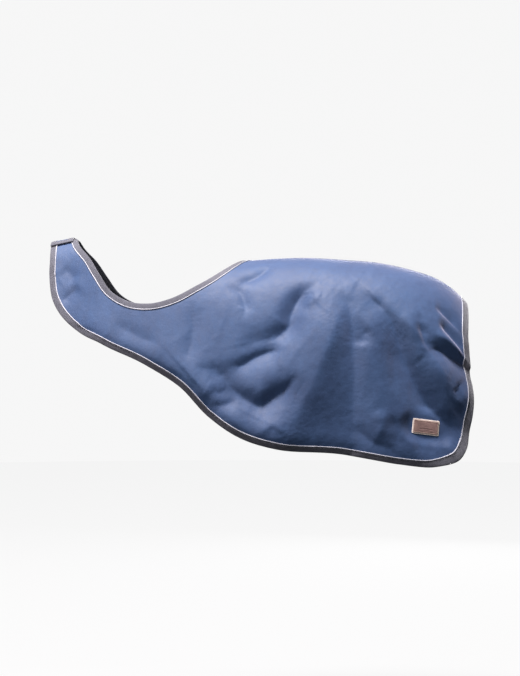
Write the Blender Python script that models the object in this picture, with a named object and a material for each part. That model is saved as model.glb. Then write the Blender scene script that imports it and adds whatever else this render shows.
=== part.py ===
"""Riding rug for a horse: two cloth panels joined along the spine, with an opening for the saddle.

The rug is modelled as it hangs on the horse.  +X runs from the withers to the tail, -Y is the horse's
left side and +Z is up.  The origin is on the lining's horse-side face, on the spine, at the rear end
of the saddle opening.  Every layer is laid out on one base surface, the horse-side face of the lining:
a place on it is (x, t), where t is the distance from the spine, measured down along the cloth.
"""

import math

import bpy
import numpy as np
from mathutils import Vector
from mathutils.geometry import delaunay_2d_cdt

# ---- driving dimensions, in metres ----
FRONT_REACH = 0.640  # origin to the front edge
REAR_REACH = 0.729  # origin to the tail edge
HEM_DROP = 0.657  # origin down to the lowest point of the hem
BODY_ROUNDING = 0.255  # distance over which the cloth turns down at the hips

LINING_THICK = 0.0006
SHELL_THICK = 0.0010
TAPE_THICK = 0.0008
TAPE_WIDTH = 0.017  # visible width of the edge binding, on each face
PIPING_WIDTH = 0.0032
PIPING_HEIGHT = 0.0024
GAP = 0.0003  # clearance between layers that touch
SEAM_HALF_GAP = 0.0002  # each panel stops this far from the spine plane
SPINE_TAPE_HALF = 0.0125

CLOSURE_WIDTH = 0.079  # width of each tongue at the crest
CREST_GAP = 0.006  # the left tongue stops this far from the crest line
FLAP_ROOT = 0.034  # from the crest line to the hinge line, on the right side
FLAP_OVERLAP = 0.048  # from the crest line to the flap's tip, on the left side
FLAP_TAPER = 0.008  # how much narrower the flap's tip is than its root
STRIP_THICK = 0.0020  # hook strip and loop strip
STRIP_CLEAR = 0.005  # from the flap's binding to the fastener strips' sides
STRIP_NEAR = 0.009  # from the crest line to the strips' upper ends
STRIP_END_CLEAR = 0.0015  # from the flap's binding to the strips' lower ends

BADGE_WIDTH = 0.088
BADGE_HEIGHT = 0.048
BADGE_RIM = 0.004  # the backing shows this much round the patch
BADGE_THICK = 0.0010  # backing, and again the patch on it
BADGE_TILT = math.radians(7)
BADGE_X = 0.573
BADGE_Z = -0.533

LOOP_LENGTH = 0.046  # tail-cord loop, sewn end to sewn end
LOOP_WIDTH = 0.020
LOOP_THICK = 0.0012
LOOP_RISE = 0.012
LOOP_TAB = 0.010  # sewn length at each end
LOOP_FROM_EDGE = 0.026
LOOP_Z = -0.330

# ---- mesh fineness ----
EDGE_STEP = 0.056
EDGE_TURN = math.radians(20)  # stations also follow each turn of the edge by this angle
LATTICE_STEP = 0.070
SECTION_STEPS = 40

# ---- shape of the base surface, as (x, value) knots along the horse, x in metres ----
BACK_HEIGHT = [
    (-0.660, 0.052), (-0.600, 0.065), (-0.555, 0.072), (-0.500, 0.066), (-0.400, 0.045),
    (-0.250, 0.015), (-0.100, 0.001), (0.000, 0.000), (0.100, 0.006), (0.180, 0.009),
    (0.327, 0.002), (0.442, -0.008), (0.508, -0.021), (0.568, -0.037), (0.627, -0.058),
    (0.680, -0.091), (0.729, -0.139), (0.765, -0.182),
]
ROUNDING_SHARE = [
    (-0.660, 0.22), (-0.560, 0.26), (-0.450, 0.45), (-0.300, 0.66), (-0.150, 0.78),
    (0.000, 0.85), (0.150, 0.92), (0.327, 1.00), (0.500, 0.98), (0.620, 0.85), (0.729, 0.62), (0.765, 0.53),
]
SIDE_SLOPE = [
    (-0.660, 68), (-0.560, 70), (-0.450, 74), (-0.300, 80), (-0.150, 83),
    (0.000, 84), (0.200, 87), (0.400, 88), (0.600, 86), (0.729, 80), (0.765, 77),
]
ROUNDING_POWER = 1.6

# ---- outlines of the left panel, seen from the side: (x, z) ----
SADDLE_EDGE = [
    (-0.545, 0.048), (-0.505, 0.002), (-0.474, -0.046), (-0.432, -0.104), (-0.373, -0.138),
    (-0.308, -0.145), (-0.245, -0.131), (-0.170, -0.095), (-0.098, -0.054), (-0.042, -0.018),
]
HEM_EDGE = [
    (-0.640, 0.010), (-0.638, -0.060), (-0.624, -0.130), (-0.585, -0.190), (-0.530, -0.235),
    (-0.460, -0.270), (-0.316, -0.338), (-0.210, -0.404), (-0.116, -0.500), (-0.023, -0.563),
    (0.090, -0.600), (0.296, -0.616), (0.483, -0.648), (0.600, -0.657), (0.665, -0.642),
    (0.700, -0.600), (0.715, -0.530), (0.724, -0.430), (0.717, -0.330), (0.713, -0.250),
    (0.719, -0.185),
]
STANDARD = {"front": 0.640, "rear": 0.729, "drop": 0.657}  # sizes at which the knots are drawn

STACK = LINING_THICK + GAP + SHELL_THICK  # from the base surface to the shell's outer face
ON_SHELL = STACK + GAP
TAPE_TOP = ON_SHELL + TAPE_THICK
PIPED = TAPE_WIDTH + GAP + PIPING_WIDTH + GAP  # the binding and the piping lie within this distance of the edge
STRIP_WIDTH = CLOSURE_WIDTH - FLAP_TAPER - 2 * (TAPE_WIDTH + STRIP_CLEAR)
STRIP_FAR = FLAP_OVERLAP - TAPE_WIDTH - STRIP_END_CLEAR
MIDWAY = STRIP_FAR - 0.011  # a station that the flap's edges and the left tongue's edges share
FLAP_LIFT = ON_SHELL + 2 * (STRIP_THICK + GAP)  # how far the flap lies above the left tongue's base surface


# ---- curves and the base surface ----
def stretched_x(x):
    """A knot's x, carried to the rug's own length."""
    x = np.asarray(x, float)
    return np.where(x < 0, x * FRONT_REACH / STANDARD["front"], x * REAR_REACH / STANDARD["rear"])


def stretched_z(z):
    return np.asarray(z, float) * HEM_DROP / STANDARD["drop"]


def smooth_curve(knots, values, at):
    """A smooth cubic curve through (knots, values), read at the places in at."""
    knots, values, at = (np.asarray(a, float) for a in (knots, values, at))
    slopes = np.gradient(values, knots)
    i = np.clip(np.searchsorted(knots, at) - 1, 0, len(knots) - 2)
    span = knots[i + 1] - knots[i]
    s = (at - knots[i]) / span
    return (
        values[i] * (1 + 2 * s) * (1 - s) ** 2
        + slopes[i] * span * s * (1 - s) ** 2
        + values[i + 1] * s**2 * (3 - 2 * s)
        + slopes[i + 1] * span * s**2 * (s - 1)
    )


def along_back(table, x, values_of=None):
    knots, values = zip(*table)
    values = values if values_of is None else values_of(values)
    knots = stretched_x(knots)
    return smooth_curve(knots, values, np.clip(x, knots[0], knots[-1]))


def section(x, t):
    """How far the cloth has gone sideways and down at distance t from the spine."""
    x, t = np.broadcast_arrays(np.asarray(x, float), np.asarray(t, float))
    rounding = BODY_ROUNDING * along_back(ROUNDING_SHARE, x)
    slope = np.radians(along_back(SIDE_SLOPE, x))
    steps = (np.arange(SECTION_STEPS) + 0.5) / SECTION_STEPS
    run = np.abs(t)[..., None] * steps
    angle = slope[..., None] * (1 - np.exp(-((run / rounding[..., None]) ** ROUNDING_POWER)))
    return np.abs(t) * np.cos(angle).mean(-1), np.abs(t) * np.sin(angle).mean(-1)


def surface(x, t):
    """Points of the base surface.  t is positive on the left side and negative on the right side."""
    out, down = section(x, t)
    x = np.broadcast_to(np.asarray(x, float), out.shape)
    height = along_back(BACK_HEIGHT, x, stretched_z)
    return np.stack([x, -np.sign(t) * out, height - down], axis=-1)


def normals(x, t):
    """Unit normals of the base surface, pointing away from the horse."""
    small = 1e-4
    across = surface(x, np.asarray(t) + small) - surface(x, np.asarray(t) - small)
    ahead = surface(np.asarray(x) + small, t) - surface(np.asarray(x) - small, t)
    found = np.cross(across, ahead)
    return found / np.linalg.norm(found, axis=-1, keepdims=True)


def raised(x, t, height):
    """Points at a height above the base surface."""
    height = np.asarray(height, float)
    return surface(x, t) + normals(x, t) * height[..., None]


def distance_down(x, z):
    """t of the base surface's points at (x, z), found by halving."""
    low, high = np.zeros_like(x), np.full_like(x, 2 * HEM_DROP)
    back = along_back(BACK_HEIGHT, x, stretched_z)
    for _ in range(40):
        middle = (low + high) / 2
        above = back - section(x, middle)[1] > z
        low, high = np.where(above, middle, low), np.where(above, high, middle)
    return (low + high) / 2


def on_surface(outline):
    """(x, z) outline points as (x, t)."""
    x, z = np.array(outline, float).T
    x, z = stretched_x(x), stretched_z(z)
    return np.stack([x, distance_down(x, z)], axis=1)


# ---- outline curves ----
def fine_curve(points):
    """A smooth curve through (x, t) points, as 1600 points."""
    points = np.array(points, float)
    chord = np.concatenate([[0], np.cumsum(np.linalg.norm(np.diff(points, axis=0), axis=1))])
    fine = np.linspace(0, chord[-1], 1600)
    return np.stack([smooth_curve(chord, points[:, k], fine) for k in (0, 1)], axis=1)


def stations(curve, closer=1.0):
    """Points along a curve: EDGE_STEP apart where it is straight, and closer where it turns."""
    steps = np.diff(curve, axis=0)
    length = np.linalg.norm(steps, axis=1)
    heading = np.unwrap(np.arctan2(steps[:, 1], steps[:, 0]))
    turn = np.abs(np.diff(heading, prepend=heading[0]))
    measure = np.concatenate([[0], np.cumsum(length / EDGE_STEP + turn / EDGE_TURN)])
    count = round(measure[-1] * closer) + 1
    places = np.linspace(0, measure[-1], count)
    return np.stack([np.interp(places, measure, curve[:, k]) for k in (0, 1)], axis=1)


def cut_at(curve, t):
    """The curve's point at distance t from the spine, and the rest of the curve after it."""
    after = int(np.argmax(curve[:, 1] > t))
    share = (t - curve[after - 1, 1]) / (curve[after, 1] - curve[after - 1, 1])
    point = curve[after - 1] + share * (curve[after] - curve[after - 1])
    return point, np.concatenate([[point], curve[after:]])


def saddle_curve():
    """The saddle opening's edge on one panel, from the crest to the spine."""
    crest = (-FRONT_REACH + CLOSURE_WIDTH, CREST_GAP)
    return fine_curve([crest, *on_surface(SADDLE_EDGE), (-0.003, 0.022), (0.0, 0.0)])


def hem_curve():
    """The panel's outer edge, from the crest down the front, along the hem and up to the tail."""
    return fine_curve([(-FRONT_REACH, CREST_GAP), *on_surface(HEM_EDGE), (REAR_REACH, 0.0)])


def edge_stations(curve, end):
    """Stations of an outline curve on the panel whose end at the crest lies at t = end.

    Both panels share the stations beyond the flap, and the left tongue's stations match the flap's.
    """
    near = [end, MIDWAY] if end < MIDWAY else [end]
    near = [(curve[0] if t == CREST_GAP else cut_at(curve, t)[0]) for t in near]
    return np.concatenate([near, stations(cut_at(curve, FLAP_OVERLAP)[1])])


def inset(edge, distance, first, last, side):
    """The edge's stations moved into the cloth.  first and last are the directions at its ends."""
    ahead = np.gradient(edge, axis=0)
    inward = np.stack([-ahead[:, 1], ahead[:, 0]], axis=1) * side
    inward /= np.linalg.norm(inward, axis=1, keepdims=True)
    for place, direction in ((0, first), (-1, last)):
        direction = np.array(direction, float)
        inward[place] = direction / max(0.5, direction @ inward[place])
    return edge + inward * distance


# ---- meshes ----
def mesh_object(name, points, faces, colour, roughness):
    """A named object from points and faces, turned to face outwards and given its own material."""
    points = np.asarray(points, float)
    volume = 0.0
    for face in faces:
        for k in range(1, len(face) - 1):
            a, b, c = points[face[0]], points[face[k]], points[face[k + 1]]
            volume += float(np.dot(a, np.cross(b, c)))
    faces = [tuple(int(v) for v in (face if volume > 0 else face[::-1])) for face in faces]
    mesh = bpy.data.meshes.new(name)
    mesh.from_pydata([tuple(p) for p in points], [], faces)
    mesh.validate()
    mesh.polygons.foreach_set("use_smooth", [True] * len(mesh.polygons))
    mesh.set_sharp_from_angle(angle=math.radians(35))
    obj = bpy.data.objects.new(name, mesh)
    bpy.context.scene.collection.objects.link(obj)
    material = bpy.data.materials.new(name)
    material.use_nodes = True
    shader = material.node_tree.nodes["Principled BSDF"]
    shader.inputs["Base Color"].default_value = (*colour, 1)
    shader.inputs["Roughness"].default_value = roughness
    mesh.materials.append(material)
    return obj


def slab(name, triangles, low, high, colour, roughness, lift=None):
    """A layer of cloth over (x, t) triangles, from one height above the base surface to another."""
    flat = np.round(counter_clockwise(triangles).reshape(-1, 2), 7)
    places, index = np.unique(flat, axis=0, return_inverse=True)
    index = index.reshape(-1, 3)
    x, t = places.T
    lifted = 0 if lift is None else lift(t)
    count = len(places)
    points = np.concatenate([raised(x, t, high + lifted + 0 * x), raised(x, t, low + lifted + 0 * x)])
    faces = [tuple(face) for face in index] + [tuple(face[::-1] + count) for face in index]
    sides = {}
    for a, b, c in index:
        for edge in ((a, b), (b, c), (c, a)):
            sides[edge] = True
    faces += [(b, a, a + count, b + count) for a, b in sides if (b, a) not in sides]
    return mesh_object(name, points, faces, colour, roughness)


def counter_clockwise(triangles):
    triangles = np.array(triangles, float)
    first, second = triangles[:, 1] - triangles[:, 0], triangles[:, 2] - triangles[:, 0]
    turned = first[:, 0] * second[:, 1] - first[:, 1] * second[:, 0] < 0
    triangles[turned] = triangles[turned][:, ::-1]
    return triangles


def strip(outer, inner):
    """Triangles between two rows of stations, each pair of stations split the same way."""
    return [
        triangle
        for a, b, c, d in zip(outer[:-1], outer[1:], inner[1:], inner[:-1])
        for triangle in ((a, b, c), (a, c, d))
    ]


def swept(name, rings, flips, colour, roughness, turned_from=None):
    """A closed body along rings of points.

    Between two rings each side is split the way flips says, and the other way from ring turned_from on.
    """
    rings = np.asarray(rings, float)
    count, around = rings.shape[:2]
    turned_from = count if turned_from is None else turned_from
    faces = []
    for i in range(count - 1):
        for k in range(around):
            a, b = i * around + k, i * around + (k + 1) % around
            c, d = b + around, a + around
            faces += [(a, b, d), (b, c, d)] if flips[k] != (i >= turned_from) else [(a, b, c), (a, c, d)]
    half = around // 2
    for k in range(half - 1):
        cap = (k, k + 1, around - 2 - k, around - 1 - k)
        faces += [cap[::-1], tuple(v + (count - 1) * around for v in cap)]
    return mesh_object(name, rings.reshape(-1, 3), faces, colour, roughness)


def inside(loop, points):
    """Which points lie inside a closed loop."""
    loop, points = np.asarray(loop, float), np.asarray(points, float)
    found = np.zeros(len(points), bool)
    for (x0, t0), (x1, t1) in zip(loop, np.roll(loop, -1, axis=0)):
        crosses = (t0 > points[:, 1]) != (t1 > points[:, 1])
        if t0 != t1:
            found ^= crosses & (points[:, 0] < x0 + (points[:, 1] - t0) / (t1 - t0) * (x1 - x0))
    return found


def within(triangles, loop):
    """The triangles that lie inside a loop."""
    return triangles[inside(loop, triangles.mean(axis=1))]


def filled(loop, footprints, lattice):
    """Triangles that fill a loop, with each footprint's outline kept as edges."""
    rows = [np.asarray(loop, float)] + [np.asarray(f, float) for f in footprints]
    fixed = np.concatenate(rows)
    near = np.linalg.norm(lattice[:, None] - fixed[None], axis=2).min(axis=1)
    spare = lattice[inside(loop, lattice) & (near > 0.5 * LATTICE_STEP)]
    for footprint in footprints:
        spare = spare[~inside(footprint, spare)]
    points = np.concatenate([fixed, spare])
    edges, start = [], 0
    for row in rows:
        edges += [(start + k, start + (k + 1) % len(row)) for k in range(len(row))]
        start += len(row)
    return within(joined_up(points, edges), loop)


def joined_up(points, edges):
    """Triangles between points, with the given edges kept."""
    found = delaunay_2d_cdt([Vector(p) for p in points], edges, [], 0, 1e-9)
    places = np.array([points[same[0]] if same else tuple(p) for p, same in zip(found[0], found[3])])
    return places[np.array(found[2])]


# ---- one panel, as (x, t) triangles with t positive ----
def rectangle(x, z, width, height, tilt=0.0):
    """A rectangle about (x, z) as seen from the side, laid on the panel as (x, t) corners.

    Its long side turns downwards to the rear by tilt.
    """
    along = np.array([math.cos(tilt), -math.sin(tilt)]) * width / 2
    down = np.array([-math.sin(tilt), -math.cos(tilt)]) * height / 2
    middle = np.array([x, z])
    corners = np.array([middle - along - down, middle + along - down, middle + along + down, middle - along + down])
    return np.stack([corners[:, 0], distance_down(*corners.T)], axis=1)


def loop_places():
    """The two sewn ends of a tail-cord loop, as rectangles."""
    z = float(stretched_z(LOOP_Z))
    rear_edge = [(-drop, x) for x, drop in HEM_EDGE[-7:][::-1]]
    edge_x = float(np.interp(-LOOP_Z, *zip(*rear_edge)))
    far = float(stretched_x(edge_x)) - LOOP_FROM_EDGE
    ends = (far - LOOP_LENGTH + LOOP_TAB / 2, far - LOOP_TAB / 2)
    return [rectangle(x, z, LOOP_TAB, LOOP_WIDTH) for x in ends]


def badge_places():
    """The badge's backing and its patch, as rectangles."""
    x, z = float(stretched_x(BADGE_X)), float(stretched_z(BADGE_Z))
    return [rectangle(x, z, BADGE_WIDTH - less, BADGE_HEIGHT - less, BADGE_TILT) for less in (0, 2 * BADGE_RIM)]


def spine_stations():
    clear = PIPED + 0.0025
    return np.linspace(clear, REAR_REACH - clear, round((REAR_REACH - 2 * clear) / EDGE_STEP) + 1)


def tape_place():
    x = spine_stations()
    near, far = np.full_like(x, SEAM_HALF_GAP), np.full_like(x, SPINE_TAPE_HALF)
    return np.concatenate([np.stack([x, near], 1), np.stack([x[::-1], far], 1)])


def strip_place():
    """The fastener strips' rectangle, the same on the left tongue and under the flap."""
    middle = -FRONT_REACH + (CLOSURE_WIDTH - FLAP_TAPER) / 2
    front, rear = middle - STRIP_WIDTH / 2, middle + STRIP_WIDTH / 2
    return np.array([(front, STRIP_NEAR), (rear, STRIP_NEAR), (rear, STRIP_FAR), (front, STRIP_FAR)])


def edge_rings(end):
    """Stations of the saddle and outer edges, at the edge and at the two insets."""
    saddle, hem = edge_stations(saddle_curve(), end), edge_stations(hem_curve(), end)
    insets = (0, TAPE_WIDTH, PIPED)
    return (
        [inset(saddle, n, (-1, 0), (1, 0), 1) for n in insets],
        [inset(hem, n, (1, 0), (-1, 0), -1) for n in insets],
    )


def panel_triangles(end, footprints):
    """One panel as (x, t) triangles.  Its spine edge stops just short of the spine plane."""
    saddle, hem = edge_rings(end)
    for rings in (saddle, hem):
        for ring in rings:
            ring[-1, 1] = SEAM_HALF_GAP
    spine = np.stack([spine_stations(), np.full_like(spine_stations(), SEAM_HALF_GAP)], axis=1)
    loop = np.concatenate([saddle[2], spine, hem[2][::-1]])
    tape = tape_place()
    tops = tape[len(tape) // 2 :]
    step = LATTICE_STEP
    grid = np.array(
        [
            (x + (row % 2) * step / 2, (row + 0.6) * step * 0.87)
            for row in range(20)
            for x in np.arange(-FRONT_REACH, REAR_REACH, step)
        ]
    )
    inner = filled(loop, [*footprints, np.concatenate([spine, tops])], grid)
    outer = [t for rings in (saddle, hem) for k in (0, 1) for t in strip(rings[k], rings[k + 1])]
    return np.concatenate([np.array(outer), inner])


# ---- pieces ----
NAVY, NAVY_LINING, GREY = (0.060, 0.085, 0.190), (0.030, 0.042, 0.095), (0.230, 0.225, 0.240)
WHITE, BROWN, BEIGE, BLACK = (0.72, 0.72, 0.76), (0.16, 0.09, 0.075), (0.55, 0.46, 0.38), (0.02, 0.022, 0.03)


def mirrored(triangles):
    return np.asarray(triangles) * (1, -1)


def make_panels():
    """Both panels' lining and shell, and what is sewn flat onto them."""
    left = panel_triangles(CREST_GAP, [*badge_places(), strip_place(), *loop_places()])
    right = panel_triangles(FLAP_ROOT, loop_places())
    for side, triangles in (("left", left), ("right", mirrored(right))):
        slab("lining_" + side, triangles, 0, LINING_THICK, NAVY_LINING, 0.8)
        slab("shell_" + side, triangles, LINING_THICK + GAP, STACK, NAVY, 0.45)
    backing, patch = badge_places()
    top = ON_SHELL + BADGE_THICK
    slab("badge_backing", within(left, backing), ON_SHELL, top, BEIGE, 0.6)
    slab("badge_patch", within(left, patch), top + GAP, top + GAP + BADGE_THICK, BROWN, 0.5)
    slab("loop_strip", within(left, strip_place()), ON_SHELL, ON_SHELL + STRIP_THICK, BLACK, 0.9)
    both = np.concatenate([within(left, tape_place()), mirrored(within(right, tape_place()))])
    both[np.abs(both[..., 1]) < 2 * SEAM_HALF_GAP, 1] = 0
    slab("spine_tape", both, ON_SHELL, TAPE_TOP, NAVY, 0.5)
    slab("seam_tape", both, -GAP - TAPE_THICK, -GAP, NAVY_LINING, 0.7)


def across(edge, first, last, side, distance, height, sign, lift=None):
    """Points of one line of a sweep, at a distance from the edge and a height over the base surface."""
    x, t = inset(edge, distance, first, last, side).T
    lifted = 0 if lift is None else lift(t)
    return raised(x, sign * t, height + lifted + 0 * x)


BINDING_PROFILE = (
    (TAPE_WIDTH, TAPE_TOP), (-GAP - TAPE_THICK, TAPE_TOP),
    (-GAP - TAPE_THICK, -GAP - TAPE_THICK), (TAPE_WIDTH, -GAP - TAPE_THICK),
    (TAPE_WIDTH, -GAP), (-GAP, -GAP), (-GAP, ON_SHELL), (TAPE_WIDTH, ON_SHELL),
)
BINDING_FLIPS = (True, False, False, False, True, False, False, False)
PIPING_PROFILE = (
    (TAPE_WIDTH + GAP, ON_SHELL + PIPING_HEIGHT / 2),
    (TAPE_WIDTH + GAP + PIPING_WIDTH * 0.25, ON_SHELL + PIPING_HEIGHT),
    (TAPE_WIDTH + GAP + PIPING_WIDTH * 0.75, ON_SHELL + PIPING_HEIGHT),
    (TAPE_WIDTH + GAP + PIPING_WIDTH, ON_SHELL + PIPING_HEIGHT / 2),
    (TAPE_WIDTH + GAP + PIPING_WIDTH * 0.75, ON_SHELL),
    (TAPE_WIDTH + GAP + PIPING_WIDTH * 0.25, ON_SHELL),
)
PIPING_FLIPS = (False, True, False, False, False, True)


def both_sides(curve, side, profile):
    """Rings along an edge from the left tongue, over the spine, to the right tongue."""
    first, last = ((-1, 0), (1, 0)) if side > 0 else ((1, 0), (-1, 0))
    rings = []
    for end, sign in ((CREST_GAP, 1), (FLAP_ROOT, -1)):
        edge = edge_stations(curve, end)
        lines = [across(edge, first, last, side, n, h, sign) for n, h in profile]
        rings.append(np.stack(lines, axis=1))
    return np.concatenate([rings[0], rings[1][::-1][1:]]), len(rings[0]) - 1


def make_trims():
    """The folded bindings and the pipings of the outer edge and of the saddle opening."""
    for name, curve, side in (("edge", hem_curve(), -1), ("saddle", saddle_curve(), 1)):
        rings, spine = both_sides(curve, side, BINDING_PROFILE)
        swept(name + "_binding", rings, BINDING_FLIPS, GREY, 0.75, spine)
        rings, spine = both_sides(curve, side, PIPING_PROFILE)
        swept(name + "_piping", rings, PIPING_FLIPS, WHITE, 0.5, spine)


def flap_lift(t):
    """Height of the flap above its base surface: it rises from the right panel onto the left tongue."""
    share = np.clip((FLAP_ROOT - SEAM_HALF_GAP + np.asarray(t)) / (FLAP_ROOT + 0.003), 0, 1)
    return FLAP_LIFT * share * share * (3 - 2 * share)


def flap_outline():
    """The flap's edge from the hinge line round the tip and back, as stations with t growing to the left."""
    front, root = -FRONT_REACH, -FLAP_ROOT + SEAM_HALF_GAP
    rear_root = float(cut_at(saddle_curve(), FLAP_ROOT)[0][0])
    rear_tip = front + CLOSURE_WIDTH - FLAP_TAPER
    rows = [root, -0.023, -0.012, -0.002, CREST_GAP, MIDWAY, FLAP_OVERLAP]
    rear = [rear_root + (rear_tip - rear_root) * min(1, (t - root) / 0.030) for t in rows]
    inner = [front + TAPE_WIDTH + STRIP_CLEAR, rear_tip - TAPE_WIDTH - STRIP_CLEAR]
    return np.array(
        [(front, t) for t in rows]
        + [(x, FLAP_OVERLAP) for x in inner]
        + [(x, t) for x, t in zip(rear[::-1], rows[::-1])]
    )


def flap_inset(outline, distance):
    """The flap's outline moved inwards, mitred at the two corners of its tip."""
    ahead = np.diff(outline, axis=0)
    ahead /= np.linalg.norm(ahead, axis=1, keepdims=True)
    inward = np.stack([ahead[:, 1], -ahead[:, 0]], axis=1)
    before, after = np.concatenate([inward[:1], inward]), np.concatenate([inward, inward[-1:]])
    mean = before + after
    mean /= (mean * before).sum(axis=1, keepdims=True)
    for place in (0, -1):
        mean[place] = (1 if place == 0 else -1, 0)
    return outline + mean * distance


def make_flap():
    """The closing flap: the right tongue's end, which crosses the crest and grips the left tongue."""
    outline = flap_outline()
    ring = flap_inset(outline, TAPE_WIDTH)
    centre = ring[:, 0].mean()
    rows = np.array([(centre, t) for t in (-0.023, -0.012, -0.002)])
    hinge = np.array([(centre, outline[0, 1])])
    loop = np.concatenate([ring, hinge])
    fixed = delaunay_rows(loop, strip_place(), rows)
    triangles = np.concatenate([np.array(strip(outline, ring)), fixed])
    slab("flap_lining", triangles, 0, LINING_THICK, NAVY_LINING, 0.8, flap_lift)
    slab("flap_shell", triangles, LINING_THICK + GAP, STACK, NAVY, 0.45, flap_lift)
    grip = within(triangles, strip_place())
    slab("hook_strip", grip, -GAP - STRIP_THICK, -GAP, BLACK, 0.9, flap_lift)
    lines = []
    for distance, height in BINDING_PROFILE:
        x, t = flap_inset(outline, distance).T
        lines.append(raised(x, t, height + flap_lift(t)))
    swept("flap_binding", np.stack(lines, axis=1), BINDING_FLIPS, GREY, 0.75)


def delaunay_rows(loop, footprint, rows):
    """The inside of the flap's inner ring, with the strip's outline and the given points as corners."""
    points = np.concatenate([loop, footprint, rows])
    count = len(loop)
    edges = [(k, (k + 1) % count) for k in range(count)]
    edges += [(count + k, count + (k + 1) % 4) for k in range(4)]
    return within(joined_up(points, edges), loop)


def make_tail_loops():
    """A webbing loop for the tail cord inside each rear edge, sewn down at both ends."""
    first, second = loop_places()
    corners = np.array([first[0], first[1], second[0], second[1]])
    lower = np.array([first[3], first[2], second[3], second[2]])
    shares = np.linspace(0, 1, 7)
    rise = np.sin(shares * math.pi) ** 0.6
    rise[[0, -1]] = 0
    span = [(1 - s) * corners[1] + s * corners[2] for s in shares]
    span_lower = [(1 - s) * lower[1] + s * lower[2] for s in shares]
    heights = np.concatenate([[0], -LOOP_RISE * rise, [0]])
    upper_row = np.array([corners[0], *span, corners[3]])
    lower_row = np.array([lower[0], *span_lower, lower[3]])
    for side, sign in (("left", 1), ("right", -1)):
        lines = []
        for row, drop in ((upper_row, 0), (lower_row, 0), (lower_row, LOOP_THICK), (upper_row, LOOP_THICK)):
            lines.append(raised(row[:, 0], sign * row[:, 1], heights - GAP - drop))
        swept("tail_loop_" + side, np.stack(lines, axis=1), (False,) * 4, GREY, 0.75)


def main():
    for obj in list(bpy.data.objects):
        bpy.data.objects.remove(obj, do_unlink=True)
    make_panels()
    make_trims()
    make_flap()
    make_tail_loops()


main()
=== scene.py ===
"""Looks of the riding rug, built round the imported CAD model."""

import functools
import math

import bpy
import numpy as np
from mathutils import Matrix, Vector
from mathutils.geometry import delaunay_2d_cdt
from mathutils.kdtree import KDTree


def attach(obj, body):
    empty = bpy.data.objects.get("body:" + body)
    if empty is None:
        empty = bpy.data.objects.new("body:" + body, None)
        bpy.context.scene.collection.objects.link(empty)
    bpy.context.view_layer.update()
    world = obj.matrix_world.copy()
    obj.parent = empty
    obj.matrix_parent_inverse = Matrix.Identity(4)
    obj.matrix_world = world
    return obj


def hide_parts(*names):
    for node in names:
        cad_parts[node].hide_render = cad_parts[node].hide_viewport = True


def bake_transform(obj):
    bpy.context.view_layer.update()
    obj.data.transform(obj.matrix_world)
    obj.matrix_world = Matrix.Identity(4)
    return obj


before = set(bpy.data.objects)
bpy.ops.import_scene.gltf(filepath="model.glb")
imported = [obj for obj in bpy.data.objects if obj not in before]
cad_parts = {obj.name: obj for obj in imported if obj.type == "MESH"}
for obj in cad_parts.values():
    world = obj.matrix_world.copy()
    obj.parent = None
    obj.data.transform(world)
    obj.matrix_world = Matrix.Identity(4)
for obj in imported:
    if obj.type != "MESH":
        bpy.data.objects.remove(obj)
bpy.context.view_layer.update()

# ---- sizes, as in the CAD source, in metres ----
FRONT_REACH, REAR_REACH, BODY_ROUNDING = 0.640, 0.729, 0.255
LINING_THICK, SHELL_THICK, TAPE_THICK, GAP = 0.0006, 0.0010, 0.0008, 0.0003
TAPE_WIDTH, PIPING_WIDTH, PIPING_HEIGHT = 0.017, 0.0032, 0.0024
CLOSURE_WIDTH, CREST_GAP, FLAP_ROOT = 0.079, 0.006, 0.034
FLAP_OVERLAP, FLAP_TAPER = 0.048, 0.008
STRIP_THICK, STRIP_NEAR, STRIP_FAR = 0.0020, 0.009, 0.0295
SPINE_TAPE_HALF = 0.0125
SEAM_CLEAR = 0.0002  # between two cloths that meet edge to edge
SEAM_INSET = 0.0019  # from a tape's inner edge to its stitches
BADGE_X, BADGE_Z, BADGE_TILT = 0.573, -0.533, math.radians(7)
BADGE_WIDTH, BADGE_HEIGHT, BADGE_RIM, BADGE_THICK = 0.088, 0.048, 0.004, 0.0010
LOOP_Z, LOOP_FAR, LOOP_LENGTH, LOOP_WIDTH = -0.330, 0.691, 0.046, 0.020
LOOP_TAB, LOOP_THICK, LOOP_RISE = 0.010, 0.0012, 0.012

STACK = LINING_THICK + GAP + SHELL_THICK
ON_SHELL = STACK + GAP
TAPE_TOP = ON_SHELL + TAPE_THICK
PIPED = TAPE_WIDTH + GAP + PIPING_WIDTH + GAP
FLAP_LIFT = ON_SHELL + 2 * (STRIP_THICK + GAP)

BACK_HEIGHT = [
    (-0.660, 0.052), (-0.600, 0.065), (-0.555, 0.072), (-0.500, 0.066), (-0.400, 0.045),
    (-0.250, 0.015), (-0.100, 0.001), (0.000, 0.000), (0.100, 0.006), (0.180, 0.009),
    (0.327, 0.002), (0.442, -0.008), (0.508, -0.021), (0.568, -0.037), (0.627, -0.058),
    (0.680, -0.091), (0.729, -0.139), (0.765, -0.182),
]
ROUNDING_SHARE = [
    (-0.660, 0.22), (-0.560, 0.26), (-0.450, 0.45), (-0.300, 0.66), (-0.150, 0.78),
    (0.000, 0.85), (0.150, 0.92), (0.327, 1.00), (0.500, 0.98), (0.620, 0.85), (0.729, 0.62), (0.765, 0.53),
]
SIDE_SLOPE = [
    (-0.660, 68), (-0.560, 70), (-0.450, 74), (-0.300, 80), (-0.150, 83),
    (0.000, 84), (0.200, 87), (0.400, 88), (0.600, 86), (0.729, 80), (0.765, 77),
]
ROUNDING_POWER = 1.6
SADDLE_EDGE = [
    (-0.545, 0.048), (-0.505, 0.002), (-0.474, -0.046), (-0.432, -0.104), (-0.373, -0.138),
    (-0.308, -0.145), (-0.245, -0.131), (-0.170, -0.095), (-0.098, -0.054), (-0.042, -0.018),
]
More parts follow.
